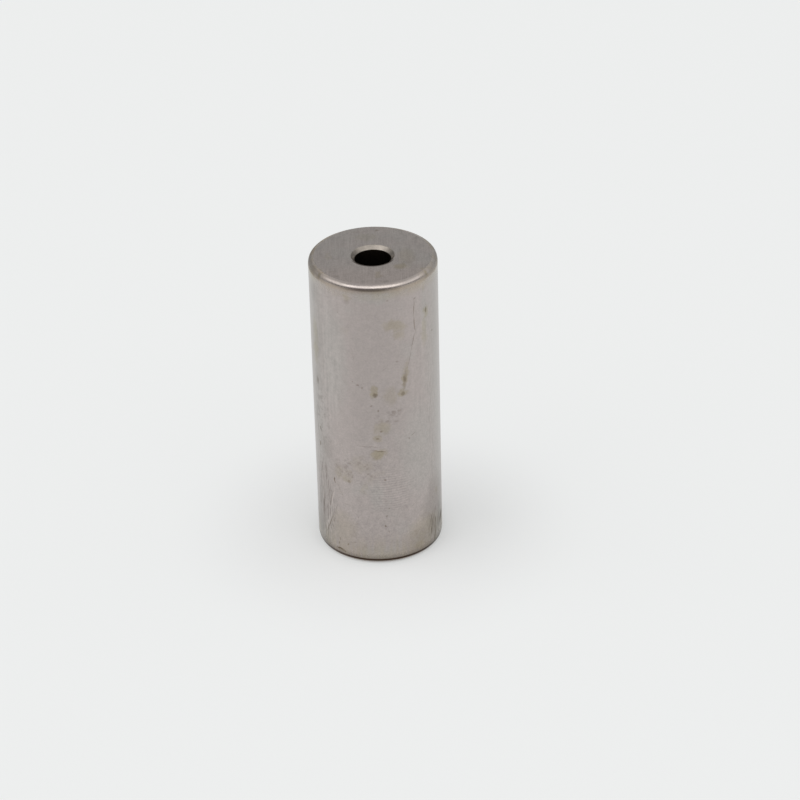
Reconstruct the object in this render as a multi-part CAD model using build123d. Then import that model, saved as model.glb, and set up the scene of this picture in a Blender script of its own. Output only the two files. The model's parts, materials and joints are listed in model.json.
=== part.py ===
from build123d import *
from math import radians, sin, tan
import os

# A crank pin: one hardened steel pin, turned from bar, bored on its axis and
# then ground on its wall and end faces. Its two ends are pressed into the crank
# webs, and the big-end bearing of the connecting rod runs on the wall between
# them. The pin stands on one end face, with its axis along +Z and the origin at
# the middle of the lower face. Both ends are alike. All sizes are in millimetres.

# Driving dimensions
PIN_DIAMETER = 20.0
PIN_LENGTH = 50.6
BORE_DIAMETER = 5.7
COUNTERSINK_DIAMETER = 6.8
COUNTERSINK_ANGLE = 90.0  # included angle, as a countersink leaves it
CORNER_RADIUS = 0.8  # small radius that breaks the edge of the end face
LEAD_IN_RADIUS = 2.0  # larger radius that eases the end into the web's hole
BLEND_ANGLE = 75.0  # turn of the surface at which one radius hands over to the other

# Worked out from them
PIN_RADIUS = PIN_DIAMETER / 2
BORE_RADIUS = BORE_DIAMETER / 2
COUNTERSINK_RADIUS = COUNTERSINK_DIAMETER / 2
COUNTERSINK_DEPTH = (COUNTERSINK_RADIUS - BORE_RADIUS) / tan(radians(COUNTERSINK_ANGLE / 2))
CORNER_REACH = CORNER_RADIUS * sin(radians(BLEND_ANGLE))
LEAD_IN_REACH = LEAD_IN_RADIUS * (1 - sin(radians(BLEND_ANGLE)))
END_FACE_RADIUS = PIN_RADIUS - CORNER_REACH - LEAD_IN_REACH


def crank_pin():
    """The pin as one solid: its half-section, turned once about the Z axis."""
    mid_height = Plane(origin=(0, PIN_LENGTH / 2, 0), z_dir=(0, 1, 0))
    with BuildPart() as pin:
        with BuildSketch(Plane.XZ):
            with BuildLine():
                # the upper end, from the bore out to the wall
                countersink = Line(
                    (BORE_RADIUS, PIN_LENGTH - COUNTERSINK_DEPTH),
                    (COUNTERSINK_RADIUS, PIN_LENGTH),
                )
                end_face = Line(countersink @ 1, (END_FACE_RADIUS, PIN_LENGTH))
                corner = JernArc(end_face @ 1, end_face % 1, CORNER_RADIUS, -BLEND_ANGLE)
                lead_in = JernArc(corner @ 1, corner % 1, LEAD_IN_RADIUS, BLEND_ANGLE - 90)
                # the lower end is the same, and the two walls join them
                mirror(about=mid_height)
                for upper in (countersink @ 0, lead_in @ 1):
                    Line(upper, (upper.X, PIN_LENGTH - upper.Y))
            make_face()
        revolve(axis=Axis.Z)
    return pin.part


os.makedirs("parts", exist_ok=True)
export_step(crank_pin(), "parts/crank_pin.step")
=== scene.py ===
import json
from math import atan2, cos, pi, radians, sin, tan

import bpy
from mathutils import Matrix, Vector


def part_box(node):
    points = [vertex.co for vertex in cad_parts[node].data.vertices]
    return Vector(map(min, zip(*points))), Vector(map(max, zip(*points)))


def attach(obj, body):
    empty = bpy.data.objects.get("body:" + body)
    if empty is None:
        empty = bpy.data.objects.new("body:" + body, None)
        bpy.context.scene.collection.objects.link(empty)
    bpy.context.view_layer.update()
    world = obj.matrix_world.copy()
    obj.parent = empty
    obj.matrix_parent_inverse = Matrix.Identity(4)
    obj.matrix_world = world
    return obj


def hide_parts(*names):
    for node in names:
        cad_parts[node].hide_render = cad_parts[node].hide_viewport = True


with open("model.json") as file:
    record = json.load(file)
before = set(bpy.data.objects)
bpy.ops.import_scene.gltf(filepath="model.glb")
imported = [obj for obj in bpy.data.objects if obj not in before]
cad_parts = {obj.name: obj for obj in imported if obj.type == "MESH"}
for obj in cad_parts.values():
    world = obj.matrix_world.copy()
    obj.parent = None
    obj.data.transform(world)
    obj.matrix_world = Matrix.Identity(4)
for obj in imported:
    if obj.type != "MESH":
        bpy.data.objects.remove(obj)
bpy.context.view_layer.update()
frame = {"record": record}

# ------------------------------------------------------------------------------------------------
# The studio: the pin stands on a wide sheet of pale paper. A high bank of lights runs round its front
# and both sides, and a long lens looks down on it from the front, a little off level.
# ------------------------------------------------------------------------------------------------


class Wire:
    """One socket of a node tree. Sums and products of wires add the Math nodes that work them out."""

    def __init__(self, tree, socket=None):
        self.tree, self.socket = tree, socket

    def node(self, kind, settings=(), sockets=(), out=0):
        """Adds a node: its settings first, then its sockets' values or wires, by name or number."""
        made = self.tree.nodes.new(kind)
        for name, value in dict(settings).items():
            if name == "stops":
                ramp = made.color_ramp
                ramp.elements[0].position, ramp.elements[0].color = value[0]
                ramp.elements[1].position, ramp.elements[1].color = value[-1]
                for position, colour in value[1:-1]:
                    ramp.elements.new(position).color = colour
            else:
                setattr(made, name, value)
        for name, value in dict(sockets).items():
            if isinstance(value, Wire):
                self.tree.links.new(value.socket, made.inputs[name])
            else:
                made.inputs[name].default_value = value
        return Wire(self.tree, made.outputs[out] if len(made.outputs) else None)

    def math(self, operation, *values):
        return self.node("ShaderNodeMath", {"operation": operation}, enumerate(values))

    def __add__(self, other):
        return self.math("ADD", self, other)

    def __sub__(self, other):
        return self.math("SUBTRACT", self, other)

    def __mul__(self, other):
        return self.math("MULTIPLY", self, other)

    def __rsub__(self, other):
        return self.math("SUBTRACT", other, self)

    def __abs__(self):
        return self.math("ABSOLUTE", self)

    __radd__ = __add__
    __rmul__ = __mul__

    def at_least(self, other):
        """The larger of this and another."""
        return self.math("MAXIMUM", self, other)

    def wave(self, pitch):
        """Swings between -1 and 1, once in each pitch."""
        angle = self * (2 * pi / pitch)
        return angle.math("SINE", angle)

    def smooth(self, start, end, most=1.0):
        """0 at start and the most at end, with an easy change between them."""
        return self.node(
            "ShaderNodeMapRange",
            {"interpolation_type": "SMOOTHSTEP"},
            {"Value": self, "From Min": start, "From Max": end, "To Max": most},
        )

    def parts(self):
        """The three numbers of this place."""
        return [self.node("ShaderNodeSeparateXYZ", (), {0: self}, out=i) for i in range(3)]

    def dot(self, *direction):
        """How far this place lies along a direction, times the direction's length."""
        return self.node(
            "ShaderNodeVectorMath",
            {"operation": "DOT_PRODUCT"},
            {0: self, 1: direction},
            out="Value",
        )

    def mix(self, kept, added, blend="MIX"):
        """The kept colour, with the added one laid over it as far as this mask says."""
        return self.node(
            "ShaderNodeMix",
            {"data_type": "RGBA", "blend_type": blend},
            {0: self, 6: kept, 7: added},
            out=2,
        )


SIGHT_DISTANCE = 0.4907  # metres from the lens to the middle of the pin's foot
SIGHT_HEIGHT = 0.2722  # of the lens above the paper
LENS_MM, SENSOR_MM = 135.65, 36.0
SIGHT_YAW, SIGHT_PITCH, SIGHT_ROLL = radians(0.512), radians(31.255), radians(-1.451)

lens = bpy.data.cameras.new("studio_lens")
lens.lens, lens.sensor_width = LENS_MM, SENSOR_MM
lens.clip_start, lens.clip_end = 0.01, 50.0
camera = bpy.data.objects.new("studio_camera", lens)
bpy.context.scene.collection.objects.link(camera)
level = SIGHT_DISTANCE**2 - SIGHT_HEIGHT**2
camera.matrix_world = (
    Matrix.Translation((0, -(level**0.5), SIGHT_HEIGHT))
    @ Matrix.Rotation(-SIGHT_YAW, 4, "Z")
    @ Matrix.Rotation(pi / 2 - SIGHT_PITCH, 4, "X")
    @ Matrix.Rotation(SIGHT_ROLL, 4, "Z")
)
bpy.context.scene.camera = camera
bpy.context.scene.view_settings.view_transform = "Standard"

LAMP_DISTANCE = 3.0


def lamp(name, side, rise, width, height, brightness):
    """A soft lamp turned to the side (degrees from the front) and raised; its size is in degrees."""
    light = bpy.data.lights.new(name, "AREA")
    light.shape = "RECTANGLE"
    light.size, light.size_y = [2 * LAMP_DISTANCE * tan(radians(a / 2)) for a in (width, height)]
    light.energy = brightness * pi * light.size * light.size_y
    hung = bpy.data.objects.new(name, light)
    turn, up = radians(side), radians(rise)
    place = Vector((sin(turn) * cos(up), -cos(turn) * cos(up), sin(up)))
    hung.location = place * LAMP_DISTANCE
    hung.rotation_euler = place.to_track_quat("Z", "Y").to_euler()
    bpy.context.scene.collection.objects.link(hung)


lamp("front_bank", -4, 58, 76, 38, 0.86)
lamp("left_bank", -80, 46, 50, 36, 0.6)
lamp("right_bank", 80, 46, 50, 36, 0.15)

# the room round the table: dim at eye level, lighter towards the ceiling, at both sides and behind
# the pin
room = bpy.data.worlds.new("studio_room")
room.use_nodes = True
room.node_tree.nodes.clear()
bpy.context.scene.world = room
sky = Wire(room.node_tree)
sideways, rearward, rise = sky.node("ShaderNodeTexCoord", out="Generated").parts()
ROOM_TONES = [(0.0, 0.16), (0.2, 0.20), (0.36, 0.50), (0.48, 0.74), (0.62, 0.74), (1.0, 0.66)]
tone = rise.node(
    "ShaderNodeValToRGB",
    {"stops": [(at, (grey, grey, grey, 1)) for at, grey in ROOM_TONES]},
    {0: rise},
)
strength = 1.15 * sideways * sideways + rearward.smooth(0.85, 1.0, 0.5) + 0.88
air = sky.node("ShaderNodeBackground", (), {"Color": tone, "Strength": strength})
sky.node("ShaderNodeOutputWorld", (), {"Surface": air})

# the sheet of paper is matt, and for the camera and in reflections it glows as a lit backdrop does.
# The glow is painted light that lifts the pin's shadow: weak round the pin's foot, so that the
# shadow stays there, and stronger further out
PAPER, PAPER_GLOW = (0.824, 0.832, 0.830, 1), (0.858, 0.870, 0.866, 1)
PAPER_HALF, PAPER_LEVEL = 3.0, -0.00002  # a hair below the pin, so that they don't share a plane
paper = bpy.data.materials.new("pale_paper")
paper.use_nodes = True
paper.node_tree.nodes.clear()
below = Wire(paper.node_tree)
matt = below.node("ShaderNodeBsdfDiffuse", (), {"Color": PAPER})
shadow_lifting_glow = below.node("ShaderNodeEmission", (), {"Color": PAPER_GLOW})
seen = below.node("ShaderNodeLightPath", out="Is Camera Ray")
for ray in ("Is Glossy Ray", "Is Transmission Ray"):
    seen = seen.at_least(below.node("ShaderNodeLightPath", out=ray))
spot = below.node("ShaderNodeTexCoord", out="Object")
away = below.node("ShaderNodeVectorMath", {"operation": "LENGTH"}, {0: spot}, out="Value")
# painted light: the glow's share grows from 16 to 36 mm from the pin's axis, lifting its shadow there
share = 0.28 + 0.42 * away.smooth(0.016, 0.036)
lit = below.node("ShaderNodeMixShader", (), {0: share * seen, 1: matt, 2: shadow_lifting_glow})
below.node("ShaderNodeOutputMaterial", (), {"Surface": lit})
sheet = bpy.data.meshes.new("paper_floor")
sheet_corners = [(-1, -1), (1, -1), (1, 1), (-1, 1)]
sheet_corners = [(x * PAPER_HALF, y * PAPER_HALF, PAPER_LEVEL) for x, y in sheet_corners]
sheet.from_pydata(sheet_corners, [], [(0, 1, 2, 3)])
sheet.materials.append(paper)
floor = bpy.data.objects.new("paper_floor", sheet)
bpy.context.scene.collection.objects.link(floor)

# ------------------------------------------------------------------------------------------------
# The crank pin: one bar of hardened steel, turned to length, bored on its axis and then ground on
# its wall and both end faces. The ends are eased by two radii, so that they press into the webs.
# ------------------------------------------------------------------------------------------------
low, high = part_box("crank_pin")
LENGTH, WALL = high.z - low.z, (high.x - low.x) / 2  # wall and bore are given by their radius
BORE = next(m for m in frame["record"]["mounts"] if m["name"] == "axial_bore")["dims"]["r_mm"] / 1000
MOUTH = 0.0034  # radius of the countersink where it meets the end face
CONE = radians(45)  # the countersink's slope from the axis
CORNER, LEAD_IN = 0.0008, 0.002  # an end's small radius, next to its face, and its large one
HAND_OVER = radians(75)  # how far the small radius turns before the large one takes over
BURR = 0.00005  # the stone leaves this much radius on an edge that is otherwise sharp
FACE_RIM = 0.00004  # a thin ring that keeps the end face flat right up to its edge
TURNS = 288  # facets round the pin
RINGS, FACE_RINGS = 24, 12  # rings of facets along half of the wall or the bore, and on an end face


def arc(centre, radius, start, end, steps):
    """Points of a section along an arc, its angles measured from the radial direction."""
    angles = [start + (end - start) * i / steps for i in range(steps + 1)]
    return [Vector((centre[0] + radius * cos(a), centre[1] + radius * sin(a))) for a in angles]


def eased(before, corner, after, radius, steps):
    """Points that round one corner of a section."""
    back, on = (before - corner).normalized(), (after - corner).normalized()
    half_turn = back.angle(on) / 2
    centre = corner + (back + on).normalized() * radius / sin(half_turn)
    reach = radius / tan(half_turn)
    first = corner + back * reach - centre
    last = corner + on * reach - centre
    start = atan2(first.y, first.x)
    sweep = (atan2(last.y, last.x) - start + pi) % (2 * pi) - pi
    return arc(centre, radius, start, start + sweep, steps)


face_radius = WALL - CORNER * sin(HAND_OVER) - LEAD_IN * (1 - sin(HAND_OVER))
sink = (MOUTH - BORE) / tan(CONE)
throat, mouth = Vector((BORE, LENGTH - sink)), Vector((MOUTH, LENGTH))
face_edge = Vector((face_radius, LENGTH))
# the upper half of the section, from the middle of the bore out to the middle of the wall
bore_half = LENGTH / 2 - sink
half_section = [Vector((BORE, LENGTH / 2 + bore_half * i / RINGS)) for i in range(RINGS)]
half_section += eased(half_section[-1], throat, mouth, BURR, 3)
half_section += eased(throat, mouth, face_edge, BURR, 4)
half_section += [mouth.lerp(face_edge, i / FACE_RINGS) for i in range(1, FACE_RINGS)]
half_section.append(face_edge - Vector((FACE_RIM, 0)))
corner_centre = (face_radius, LENGTH - CORNER)
half_section += arc(corner_centre, CORNER, pi / 2, pi / 2 - HAND_OVER, 16)
lead_centre = (WALL - LEAD_IN, LENGTH - CORNER * (1 - cos(HAND_OVER)) - LEAD_IN * cos(HAND_OVER))
half_section += arc(lead_centre, LEAD_IN, pi / 2 - HAND_OVER, 0, 6)[1:]
wall_top, wall_middle = half_section[-1], Vector((WALL, LENGTH / 2))
half_section += [wall_top.lerp(wall_middle, i / RINGS) for i in range(1, RINGS + 1)]
section = half_section + [Vector((p.x, LENGTH - p.y)) for p in half_section[-2:0:-1]]

corners = [
    (p.x * sin(2 * pi * j / TURNS), -p.x * cos(2 * pi * j / TURNS), p.y)
    for p in section
    for j in range(TURNS)
]
faces = []
for i in range(len(section)):
    here, there = i * TURNS, (i + 1) % len(section) * TURNS
    faces += [
        (here + j, there + j, there + (j + 1) % TURNS, here + (j + 1) % TURNS) for j in range(TURNS)
    ]
shape = bpy.data.meshes.new("ground_pin")
shape.from_pydata(corners, [], faces)
shape.polygons.foreach_set("use_smooth", [True] * len(faces))

# which finish each ring of faces has, and where it lies on the unrolled skin: the wall with its eased
# edges is one long strip, the end faces are two discs beside it, and the bore is a narrow strip
WALL_SLOT, END_SLOT, BORE_SLOT = range(3)
STRIPS = {WALL_SLOT: (0.005, 0.79, 0.005, 0.995), BORE_SLOT: (0.81, 0.99, 0.01, 0.60)}
DISCS = {True: (0.90, 0.90), False: (0.90, 0.71)}  # the upper face and the lower one
DISC_SIZE = 0.088
STRIP_SPARE = 0.0021  # length left free at the far end of each strip
FLAT = 1e-6  # a ring of faces this near to an end is part of the end face
rings = []
for here, there in zip(section, section[1:] + section[:1]):
    middle = (here + there) / 2
    inset = min(middle.y, LENGTH - middle.y)
    if middle.x < MOUTH and inset > FLAT:
        rings.append(BORE_SLOT)
    else:
        rings.append(END_SLOT if inset < FLAT else WALL_SLOT)
walked = [0.0]
for here, there in zip(section, section[1:] + section[:1]):
    walked.append(walked[-1] + (there - here).length)


def along_strip(point, ring):
    """How far along its strip a point of the section lies, on the ring of faces of that number."""
    # the bore's strip runs on past the end of the section to its beginning
    past = rings[ring] == BORE_SLOT and ring < len(rings) / 2
    return walked[point] + (walked[-1] if past else 0)


spans = {}
for slot in STRIPS:
    starts = [along_strip(i, i) for i, ring in enumerate(rings) if ring == slot]
    spans[slot] = min(starts), max(starts) + STRIP_SPARE
skin = []
for i, ring in enumerate(rings):
    for j in range(TURNS):
        for up, on in ((0, 0), (1, 0), (1, 1), (0, 1)):
            if ring == END_SLOT:
                point = section[(i + up) % len(section)]
                disc = DISCS[point.y > LENGTH / 2]
                turned = 2 * pi * (j + on) / TURNS
                reach = DISC_SIZE * point.x / WALL
                skin += [disc[0] + reach * sin(turned), disc[1] - reach * cos(turned)]
            else:
                left, right, bottom, top = STRIPS[ring]
                first, last = spans[ring]
                share = (along_strip(i + up, i) - first) / (last - first)
                skin += [left + (right - left) * (j + on) / TURNS, bottom + (top - bottom) * share]
unrolled = shape.uv_layers.new(name="OFBake")
unrolled.data.foreach_set("uv", skin)
shape.polygons.foreach_set("material_index", [ring for ring in rings for j in range(TURNS)])
shape.validate()
pin = bpy.data.objects.new("ground_pin", shape)
bpy.context.scene.collection.objects.link(pin)
keep = pin.modifiers.new("true_faces", "WEIGHTED_NORMAL")
keep.mode, keep.weight, keep.thresh = "FACE_AREA", 100, 0.01


def stretched(where, across, along, up):
    """The same place with each axis made longer or shorter by these factors."""
    return where.node(
        "ShaderNodeMapping",
        {"vector_type": "POINT"},
        {"Vector": where, "Scale": (1 / across, 1 / along, 1 / up)},
    )


def mould(name):
    """A new steel finish: the place on the pin in millimetres, as its first wire."""
    made = bpy.data.materials.new(name)
    made.use_nodes = True
    made.node_tree.nodes.clear()
    shape.materials.append(made)
    place = Wire(made.node_tree).node("ShaderNodeTexCoord", out="Object")
    return stretched(place, 1 / MM, 1 / MM, 1 / MM)


def cloud(where, size, detail=3.0, rough=0.55, out=0):
    """Random soft patches about this many millimetres across, from 0 to 1."""
    sockets = {"Vector": where, "Scale": 1 / size, "Detail": detail, "Roughness": rough}
    return where.node("ShaderNodeTexNoise", (), sockets, out=out)


def dimmed(colour, amount):
    """A colour times a number."""
    return amount.node("ShaderNodeVectorMath", {"operation": "SCALE"}, {0: colour, "Scale": amount})


def flattened(across, up):
    """A place on the flat, with a third number of 1 so that a dot product can also shift it."""
    return across.node("ShaderNodeCombineXYZ", (), {0: across, 1: up, 2: 1.0})


def loosened(flat, where, size, most):
    """A flat place moved about at random by up to this many millimetres."""
    drift = cloud(where, size, 3.0, 0.6, out=1)
    push = flat.node("ShaderNodeVectorMath", {"operation": "SUBTRACT"}, {0: drift, 1: (0.5, 0.5, 0.5)})
    sockets = {0: push, 1: (2 * most, 2 * most, 0), 2: flat}
    return flat.node("ShaderNodeVectorMath", {"operation": "MULTIPLY_ADD"}, sockets)


def covered(flat, places, soft=0.6):
    """How far any of these marks covers the flat place: each is an ellipse with a soft edge."""
    cover = None
    for across, up, half_wide, half_tall, lean, depth in places:
        c, s = cos(radians(lean)), sin(radians(lean))
        wide = flat.dot(c / half_wide, s / half_wide, -(c * across + s * up) / half_wide)
        tall = flat.dot(-s / half_tall, c / half_tall, (s * across - c * up) / half_tall)
        reach = wide.math("MULTIPLY_ADD", wide, wide, tall * tall)
        one = reach.smooth(1.0, (1.0 - soft) ** 2, depth)
        cover = one if cover is None else cover.at_least(one)
    return cover


def specks(where, apart, size, share):
    """Round specks this many millimetres apart, of which a share is kept."""
    sockets = {"Vector": where, "Scale": 1 / apart}
    near = where.node("ShaderNodeTexVoronoi", (), sockets, out="Distance")
    pick = where.node("ShaderNodeTexVoronoi", (), sockets, out="Color").parts()[0]
    return near.smooth(size / apart, 0.4 * size / apart) * pick.smooth(share, share * 0.8)


def finished(colour, roughness, bumps, stretch=0.0):
    """The steel's shader. Bumps is a height in micrometres; stretch draws reflections out upward."""
    bump_sockets = {"Strength": 1.0, "Distance": MICROMETRE, "Height": bumps}
    shine = colour.node(
        "ShaderNodeBsdfPrincipled",
        (),
        {
            "Base Color": colour,
            "Metallic": 1.0,
            "Roughness": roughness,
            "Anisotropic": stretch,
            "Anisotropic Rotation": 0.25,
            "Normal": bumps.node("ShaderNodeBump", (), bump_sockets),
        },
    )
    colour.node("ShaderNodeOutputMaterial", (), {"Surface": shine})


MM, MICROMETRE = 1000, 1e-6  # millimetres in a metre, and a micrometre in metres
PINK_STEEL, GREY_STEEL = (0.403, 0.359, 0.343, 1), (0.389, 0.366, 0.347, 1)
# what lies on the steel, and the painted shade, is given as the share of each colour that it lets
# through
DRY_OIL, BROWNED_OIL, BLACK_OIL = (0.88, 0.86, 0.71, 1), (1.0, 0.93, 0.83, 1), (0.09, 0.05, 0.0, 1)
# SCALE is the dark brown of hardening scale, also used for painted shade along the eased edges and in
# front of the bore's mouth
RUST, SCALE = (0.46, 0.42, 0.34, 1), (0.100, 0.062, 0.040, 1)

# The ground wall with its eased edges. A mark on it is an ellipse: its turn from the front in degrees,
# its height, its half width and half height in millimetres, its lean in degrees and how deep it shows.
where = mould("ground_wall")
x, y, height = where.parts()
turn = x.math("ARCTAN2", x, y * -1) * (180 / pi)
aside = abs(turn)
depth = height.math("MINIMUM", height, LENGTH * MM - height)  # from the nearer end
per_degree = WALL * MM * pi / 180
round_wall = turn * per_degree
flat = flattened(round_wall, height)
ragged = loosened(flat, where, 1.1, 1.1)


def on_wall(places):
    """Marks given by their turn, with the turn changed to millimetres round the wall."""
    return [(turn * per_degree, *rest) for turn, *rest in places]


grain = cloud(where, 0.28, 2.0, 0.6)
mottle = cloud(where, 0.9, 4.0, 0.62)
patches = cloud(where, 2.6, 4.0, 0.6)
lay = cloud(stretched(where, 12, 12, 1), 0.12, 2.0, 0.6)
streaks = cloud(stretched(where, 1, 1, 14), 0.5, 2.0, 0.6)
foot = height.smooth(6.5, 1.2)

# the bare steel is a little pink, and greyer in broad zones and towards the sides
GREY_ZONES = [
    (0, 48.8, 4.0, 1.6, 0, 0.6), (-3, 13, 1.5, 3.5, 0, 0.6), (0, 2, 4, 2, 0, 0.4),
    (-43, 37, 3.6, 13, 0, 0.7), (50, 44, 1.2, 7, 0, 0.7), (42, 20, 4.8, 11, 0, 0.7),
    (175, 30, 7, 14, 0, 0.8), (-110, 20, 5, 12, 0, 0.8), (110, 36, 5, 9, 0, 0.8),
]
PINK_ZONES = [(-64, 11, 3.2, 8, 0, 0.6), (60, 9, 3, 5, 0, 0.5), (-30, 47, 3, 4, 0, 0.5)]
grey = covered(ragged, on_wall(GREY_ZONES), 0.9)
grey = grey.at_least(cloud(where, 7.0).smooth(0.55, 0.72) * 0.5)
grey = grey.at_least(aside.smooth(36, 76) * (0.95 - 0.6 * aside.smooth(110, 160)))
grey = grey * (1.0 - covered(ragged, on_wall(PINK_ZONES), 0.95))
colour = grey.mix(PINK_STEEL, GREY_STEEL)

# thin oil has dried to a tan film, in spots, round the foot and along both eased edges
OIL_FILMS = [
    # the front, from the top down
    (-25, 48.4, 0.9, 0.9, 0, 0.6), (18, 43.4, 2.5, 1.3, -15, 0.65), (21.5, 41.6, 1.3, 1.1, 0, 0.5),
    (26.5, 34.4, 0.6, 3.4, -10, 0.8), (24, 31.2, 1.1, 0.9, 0, 0.8), (-2, 32, 0.9, 1.4, 0, 0.9),
    (12, 31, 1.4, 2.0, 0, 0.4), (4, 25.5, 1.7, 1.6, 0, 0.65), (-1, 23.6, 1.0, 0.9, 0, 0.7),
    (0, 20.6, 1.6, 1.2, 15, 1.0), (-16, 18.6, 2.4, 2.0, 0, 0.35), (-34, 16, 2.2, 1.6, 0, 0.5),
    (-31, 15.2, 1.2, 0.7, 0, 0.6), (-14, 14, 0.7, 1.4, 0, 0.3),
    # the left and right sides
    (-57, 50.2, 0.6, 0.5, 0, 0.9), (-68, 38, 1.5, 5.0, 0, 0.7), (-37, 5.5, 3.4, 4.4, 0, 0.4),
    (55, 50.0, 0.6, 0.5, 0, 0.9), (49, 48.7, 0.7, 1.0, 0, 0.5), (51, 44, 0.6, 1.4, 0, 0.7),
    (49, 41, 0.8, 3.5, 0, 0.5), (65, 10, 0.6, 0.8, 0, 0.5), (46, 4.0, 5.0, 4.2, 0, 0.55),
    (38, 2.0, 2.2, 1.6, 0, 0.8),
    # the back
    (120, 37, 1.8, 2.6, 20, 0.6), (158, 21, 1.2, 1.8, 0, 0.7), (-135, 30, 1.5, 1.2, 0, 0.7),
    (-100, 12, 1.8, 2.8, -15, 0.5), (-172, 43, 0.9, 2.0, 10, 0.6), (95, 15, 1.0, 1.0, 0, 0.5),
]
film = covered(ragged, on_wall(OIL_FILMS), 0.9) * patches.smooth(0.2, 0.5)
film = film.at_least(cloud(where, 4.0, 4.0).smooth(0.62, 0.8) * 0.3)
film = film.at_least(foot * streaks.smooth(0.3, 0.6) * 0.6)
edge_film = depth.smooth(3.0, 1.4) * (0.4 + 0.6 * depth.smooth(0.5, 0.8))
film = film.at_least(edge_film * patches.smooth(0.25, 0.65) * 0.55)
colour = film.mix(colour, DRY_OIL, "MULTIPLY")

# rust has started in small spots, and in fine specks all over
RUST_SPOTS = [
    # the front, from the top down
    (11.5, 48, 0.25, 0.2, 0, 0.4), (-25, 47.6, 0.7, 0.6, 0, 0.2), (19, 37, 0.3, 0.25, 0, 0.3),
    (26, 33.6, 0.34, 0.8, 0, 0.6), (26, 33.4, 0.4, 2.4, -6, 0.3), (-17, 33.1, 0.3, 0.22, 0, 0.5),
    (-13, 32.7, 0.25, 0.25, 0, 0.4), (-1.5, 31.4, 0.5, 0.5, 0, 0.65), (24, 31.1, 0.5, 0.4, 0, 0.5),
    (-5, 29.5, 0.3, 0.2, 0, 0.4), (1, 28.6, 0.18, 0.3, 0, 0.5), (20, 28.2, 0.5, 0.3, 0, 0.25),
    (15, 28, 0.5, 0.6, 0, 0.3), (13, 27.6, 0.5, 0.3, 0, 0.25), (9, 26.6, 0.4, 0.3, 0, 0.25),
    (17, 26.4, 0.5, 0.3, 0, 0.25), (3, 24.8, 0.25, 0.25, 0, 0.6), (-0.5, 23.5, 0.3, 0.25, 0, 0.5),
    (29, 22.7, 0.3, 0.2, 0, 0.5), (-32, 17.6, 0.9, 0.6, 0, 0.2), (5.5, 15.8, 0.25, 0.25, 0, 0.6),
    (-28.5, 15, 0.35, 0.4, 0, 0.35), (8, 10.4, 0.15, 0.2, 0, 0.5), (6, 9, 0.2, 0.2, 0, 0.5),
    (3, 8.2, 0.18, 0.15, 0, 0.4), (4.5, 7.1, 0.25, 0.25, 0, 0.8), (7.5, 6, 0.15, 0.25, 0, 0.5),
    (-24, 3.6, 0.2, 0.2, 0, 0.4), (-31.5, 2.9, 0.2, 0.3, 0, 0.6),
    # the left side
    (-57, 50, 0.9, 0.6, 0, 0.3), (-66, 31, 0.5, 0.9, 0, 0.5), (-64, 22.4, 0.3, 0.5, 0, 0.6),
    (-66, 19.4, 0.3, 0.6, 0, 0.8), (-40, 17.4, 0.9, 0.7, 20, 0.2), (-45, 14.3, 0.2, 0.7, 12, 0.9),
    (-40.5, 3.4, 0.15, 0.5, -20, 0.5), (-42, 2.6, 0.2, 0.4, 0, 0.5), (-41, 1.6, 1.0, 0.22, 0, 1.0),
    (-37, 1.4, 0.7, 0.16, 0, 0.7),
    # the right side
    (54, 50, 0.6, 0.6, 0, 0.2), (38, 47.2, 0.34, 0.2, 30, 0.5), (52, 44.2, 0.25, 0.6, 0, 0.6),
    (62, 39.8, 0.3, 0.25, 0, 0.4), (75, 4.0, 0.6, 1.4, -25, 1.0),
    # the back
    (140, 34, 0.3, 0.5, 0, 0.7), (-110, 26, 0.25, 0.3, 0, 0.8), (174, 12, 0.3, 0.3, 0, 0.7),
]
rust = covered(loosened(flat, where, 0.5, 0.3), on_wall(RUST_SPOTS), 0.9)
rust = rust.at_least(specks(where, 1.9, 0.14, 0.35) * 0.4)
colour = rust.mix(colour, RUST, "MULTIPLY")

# scratches: a long one down the right of the front, a few short ones, and rub marks at the foot on
# both sides, with bright ridges between those on the left
HAIRLINES = [
    # the long scratch
    (37, 45.6, 0.12, 1.7, -5, 0.9), (37.4, 42.8, 0.13, 1.8, 5, 0.9), (35.5, 39.8, 0.1, 2.0, -14, 0.7),
    (31.5, 37, 0.1, 2.0, -16, 0.6),
    # the front
    (-20, 38, 0.05, 2.2, 12, 0.3), (8, 36.2, 1.1, 0.06, 50, 0.3), (34, 23.2, 0.7, 0.1, 35, 0.7),
    (-9.5, 22, 2.6, 0.08, -4, 0.6), (0, 21.2, 1.5, 0.12, -9, 0.9), (-31, 10.6, 0.9, 0.08, -5, 0.6),
    (33, 10.2, 1.6, 0.06, 35, 0.5),
    # the left side
    (-47, 33, 0.06, 2.5, 5, 0.4), (-70, 23, 0.12, 3.5, 12, 0.7), (-60, 21, 0.09, 3.2, 18, 0.7),
    (-39, 13, 0.07, 2.4, 28, 0.5), (-50, 10.4, 0.12, 2.5, -12, 0.8), (-45, 8, 0.08, 3.0, -12, 0.6),
    (-54.5, 5.2, 0.14, 3.0, -26, 1.0),
    # the right side
    (54, 4, 0.08, 2.0, 0, 0.6), (59, 4.4, 0.1, 2.2, 0, 0.8), (63, 3.8, 0.1, 1.8, 0, 0.9),
    (66, 4.2, 0.14, 2.2, 4, 1.0), (71, 4.4, 0.16, 2.0, -6, 1.0), (76, 4.2, 0.24, 1.4, -20, 1.0),
    # the back
    (110, 18, 0.07, 3.5, -8, 0.6), (-150, 24, 1.8, 0.07, 25, 0.5), (165, 36, 0.06, 2.4, 14, 0.6),
]
RIDGES = [
    (-48, 10.6, 0.24, 2.8, -12, 1.0), (-62, 11, 0.2, 5, 6, 0.6), (-57, 5.4, 0.3, 3.4, -26, 1.0),
    (-59.5, 2.6, 0.2, 1.0, 15, 0.7),
]
hairy = loosened(flat, where, 1.5, 0.3)
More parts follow.
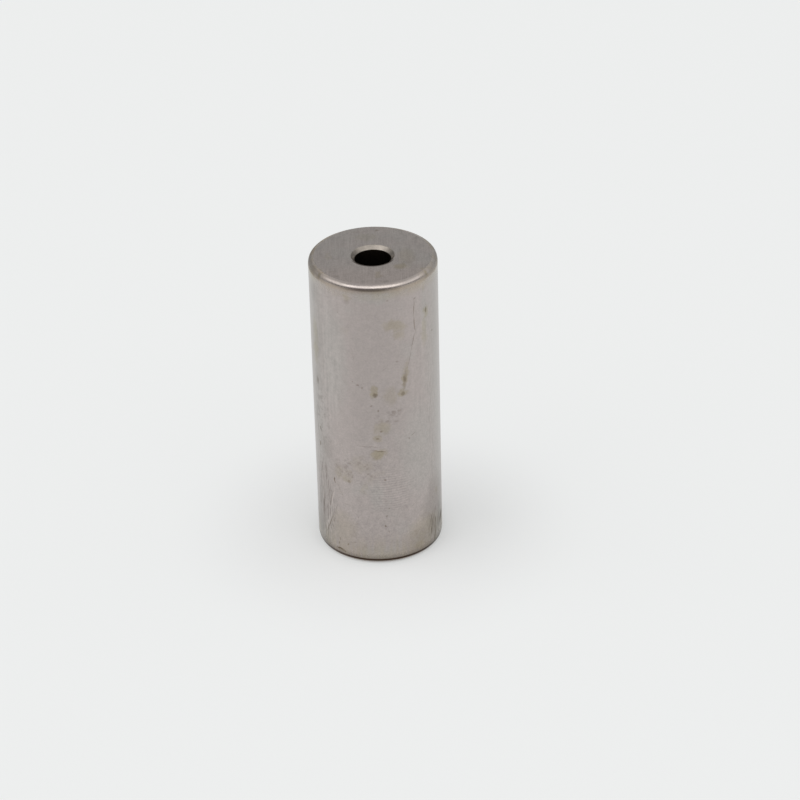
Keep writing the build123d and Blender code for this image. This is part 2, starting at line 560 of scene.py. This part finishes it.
lines = covered(hairy, on_wall(HAIRLINES), 0.9)
colour = (lines * 0.7).mix(colour, RUST, "MULTIPLY")

# black oil: wiped up both sides in folds, smeared beside them, and left in blots here and there
WIPED = [
    (-62, 10, 3.0, 10, 6, 0.9), (-69, 24, 2.0, 10, 4, 0.35), (67, 3.8, 3.4, 4.2, 0, 0.9),
    (58, 26, 1.4, 20, 0, 0.25), (140, 12, 4, 10, 0, 0.8),
]
SOILED = [
    (-65, 46.5, 2.6, 2.2, 0, 0.6), (-60, 38, 1.8, 12, 0, 0.4), (-63, 31.5, 2.0, 2.6, 0, 0.55),
    (-54, 19.5, 1.9, 2.8, -10, 0.7), (-47, 13, 2.0, 9, -5, 0.3), (-62, 10, 2.4, 10, -5, 0.65),
    (-72, 4.5, 2.4, 3.4, 0, 0.9), (-66, 1.4, 3.6, 1.6, 0, 0.8),
    (63, 6.6, 4.2, 8.6, 0, 0.9), (45, 2.5, 5.0, 3.8, 0, 0.6),
]
MOTTLED = [
    (-20, 44, 5, 3, 0, 0.2), (12, 27.5, 3.0, 1.8, 0, 0.7), (-24, 17.4, 6.0, 2.6, 0, 0.9),
    (24, 8, 6, 6, 0, 0.2), (-30, 6, 5.0, 5.0, 0, 0.35), (-61, 25, 2.8, 8, 0, 1.3),
    (-150, 15, 5, 5, 0, 0.7),
]
FOLD_PITCH = 0.62  # of the folds that a finger left in the oil, in millimetres
wiped = covered(ragged, on_wall(WIPED), 0.7)
wander = cloud(stretched(where, 1, 1, 2.6), 1.5, 2.0, 0.5)
folds = (round_wall + 2.4 * wander).wave(FOLD_PITCH)
folds = (folds * 0.5 + 0.5) * streaks.smooth(0.3, 0.6)
oily = wiped * folds * 0.60 + 0.24 * covered(ragged, on_wall(SOILED), 0.95)
blots = cloud(where, 0.75, 3.0, 0.5).smooth(0.48, 0.66)
oily = oily.at_least(covered(ragged, on_wall(MOTTLED), 0.95) * blots * 0.22)
colour = oily.mix(colour, BLACK_OIL, "MULTIPLY")

# how bright the ground steel is: it is streaked on the sides, has chatter rings low down in front,
# and its lower half is left a little rougher
STREAKED = [(-52, 37, 4.8, 16, 0, 1.0), (46, 36, 3, 15, 0, 0.5)]
CHATTERED = [(12, 13.5, 4.2, 5.0, 0, 1.0), (-160, 32, 4, 6, 0, 0.6)]
CHATTER_PITCH = 0.45  # millimetres from ring to ring
coarse = height.smooth(30.0, 14.0)
tone = (0.31 + 0.24 * coarse) * grain + (0.24 + 0.12 * coarse) * mottle
tone = tone + 0.15 * patches + 0.08 * lay + 0.07 * streaks + 0.67 - 0.17 * coarse
tone = tone + covered(ragged, on_wall(STREAKED), 0.9) * (0.42 * streaks + 0.26 * mottle - 0.31)
ripple = (height + 0.5 * patches).wave(CHATTER_PITCH)
tone = tone + covered(ragged, on_wall(CHATTERED), 0.7) * ripple * 0.08
tone = tone + wiped * 0.10 + 0.26 * covered(hairy, on_wall(RIDGES), 0.9)
# painted reflection: the wall is painted lighter everywhere but at the front, rising from 8 to 42
# degrees round and a little less from 55 to 68, standing in for the brighter light its flanks reflect
tone = tone + 0.09 * aside.smooth(8, 42) - 0.03 * aside.smooth(55, 68) + 0.02 * aside.smooth(72, 80)
# painted shade: the wall is painted darker and streaked towards its foot, standing in for the shadowed
# paper that it reflects there
tone = tone - foot * (mottle.smooth(0.42, 0.7) * 0.10 + 0.10 - 0.2 * streaks)

# the eased edges are painted lighter, the upper one most and in front and behind: partly burnish,
# where it rubs in its web, and partly a painted highlight. At the sides the upper edge is painted
# darker, a little less so on the right: partly oil that has browned, partly painted shade
upper = height.smooth(10.0, 40.0)
dull_and_shaded = abs(turn - 4)
dull_and_shaded = dull_and_shaded.smooth(-6, 46) * dull_and_shaded.smooth(165, 140) * (1.0 - 0.2 * turn.smooth(24, 42))
burnish_and_highlight = depth.smooth(0.75, 0.45) * depth.smooth(0.01, 0.10) * (0.35 + 0.65 * upper)
dirty = upper * dull_and_shaded * aside.smooth(40, 60) * depth.smooth(1.35, 0.85)
caked = patches.smooth(0.3, 0.65)
tone = tone + burnish_and_highlight * (0.59 - 0.87 * upper * dull_and_shaded) + dirty * (0.12 - 0.16 * caked)
browned = upper * depth.smooth(1.5, 0.95) * depth.smooth(0.5, 0.75) * 0.5
browned = browned.at_least(dirty * caked * 0.8)
colour = dimmed(browned.mix(colour, BROWNED_OIL, "MULTIPLY"), tone)

# a dark line along the eased edges, partly hardening scale that the stone passes by and partly
# painted shade: whole round the foot, standing in for the reflected shadow under the pin, and on the
# upper edge only in front, standing in for a dark reflection
off_front = abs(turn + 5).smooth(4, 36)
scale_and_shade = 0.65 * depth.smooth(1.02, 0.76) + 0.35 * depth.smooth(1.9, 0.85)
scale_and_shade = scale_and_shade * depth.smooth(0.32, 0.58) * (1.0 - 0.32 * upper) * (1.0 - 0.86 * upper * off_front)
colour = scale_and_shade.mix(colour, SCALE, "MULTIPLY")
ground = depth.smooth(1.0, 3.0)  # the wall itself is rougher than its polished edge
roughness = 0.17 + 0.10 * ground + 0.10 * mottle + 0.06 * film + 0.15 * rust + 0.35 * dirty
finished(colour, roughness, lay + 2.0 * grain, 0.7)

# The end faces: straight strokes of the stone, with a few tan films and dull spots. A mark here is
# placed by its two distances from the axis in millimetres.
where = mould("ground_ends")
x, y, height = where.parts()
flat = flattened(x, y)
ragged = loosened(flat, where, 1.1, 0.9)
FACE_STEEL, FACE_GREY = (0.387, 0.350, 0.328, 1), (0.379, 0.351, 0.329, 1)
FACE_FRONT = (0.397, 0.348, 0.323, 1)
FACE_FILMS = [
    (-1, 6.0, 2.4, 1.6, 0, 0.3), (-7.0, 0, 0.7, 1.6, 0, 0.3), (5.2, -0.6, 1.7, 3.4, 0, 0.35),
    (4.3, -3.8, 1.6, 1.0, 0, 0.8), (-8.3, -4.5, 0.5, 1.2, -30, 0.6), (8.0, -5.2, 0.5, 1.2, 30, 0.6),
    (0.8, -6.2, 0.6, 1.4, 0, 0.5),
]
FACE_SPOTS = [
    (0.8, 8.1, 0.4, 0.5, 0, 0.8), (-2.0, 7.9, 1.4, 0.4, 0, 0.3), (6.8, 5.2, 0.8, 0.5, 40, 0.3),
    (-6.3, -5.0, 0.6, 0.5, 0, 0.3), (-5.5, -6.4, 0.9, 0.6, -20, 0.4), (1.5, -8.4, 0.8, 0.4, 0, 0.4),
]
strokes = cloud(stretched(where, 1, 16, 1), 0.2, 2.0, 0.6)
broad = cloud(stretched(where, 1, 6, 1), 0.7, 3.0, 0.6)
grain = cloud(where, 0.3, 2.0, 0.6)
mottle = cloud(where, 1.1, 4.0, 0.62)
film = covered(ragged, FACE_FILMS, 0.9)
rust = covered(ragged, FACE_SPOTS, 0.9)
rust = rust.at_least(specks(where, 1.6, 0.12, 0.4) * 0.4)
colour = cloud(where, 5.0).smooth(0.4, 0.6).mix(FACE_STEEL, FACE_GREY)
colour = y.smooth(-2.0, -6.0).mix(colour, FACE_FRONT)
colour = film.mix(colour, DRY_OIL, "MULTIPLY")
colour = (rust * 0.6).mix(colour, RUST, "MULTIPLY")
# painted shade: a dark ring is painted on the end faces just outside the front of the countersink's
# mouth
squared = x * x + y * y
reach = squared.math("SQRT", squared)
mouth_shade = reach.smooth(MOUTH * MM + 0.34, MOUTH * MM + 0.12) * y.smooth(-1.0, -2.4)
colour = (mouth_shade * 0.95).mix(colour, SCALE, "MULTIPLY")
colour = dimmed(colour, 0.40 * strokes + 0.20 * broad + 0.34 * grain + 0.30 * mottle + 0.315)
finished(colour, 0.20 + 0.08 * mottle + 0.06 * film, 1.5 * strokes)

# The countersinks and the bore are turned and drilled, not ground. Further in they are coloured
# near black: partly black oil, partly painted shade of the deep bore.
where = mould("drilled_bore")
x, y, height = where.parts()
depth = height.math("MINIMUM", height, LENGTH * MM - height)
CONE_STEEL, BORE_OIL_AND_SHADE = (0.294, 0.264, 0.232, 1), (0.09, 0.07, 0.05, 1)
lines = cloud(stretched(where, 12, 12, 1), 0.06, 2.0, 0.6)
mottle = cloud(where, 0.3, 3.0, 0.6)
colour = depth.smooth(sink * MM - 0.02, sink * MM + 0.14).mix(CONE_STEEL, BORE_OIL_AND_SHADE)
smeared = y.smooth(0.2, 1.1) * y.smooth(2.7, 1.8)
colour = dimmed(colour, 0.58 + 0.2 * lines + 0.66 * mottle - 0.40 * smeared)
finished(colour, 0.30 + 0.1 * lines, 3.0 * lines)

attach(pin, "root")
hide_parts("crank_pin")
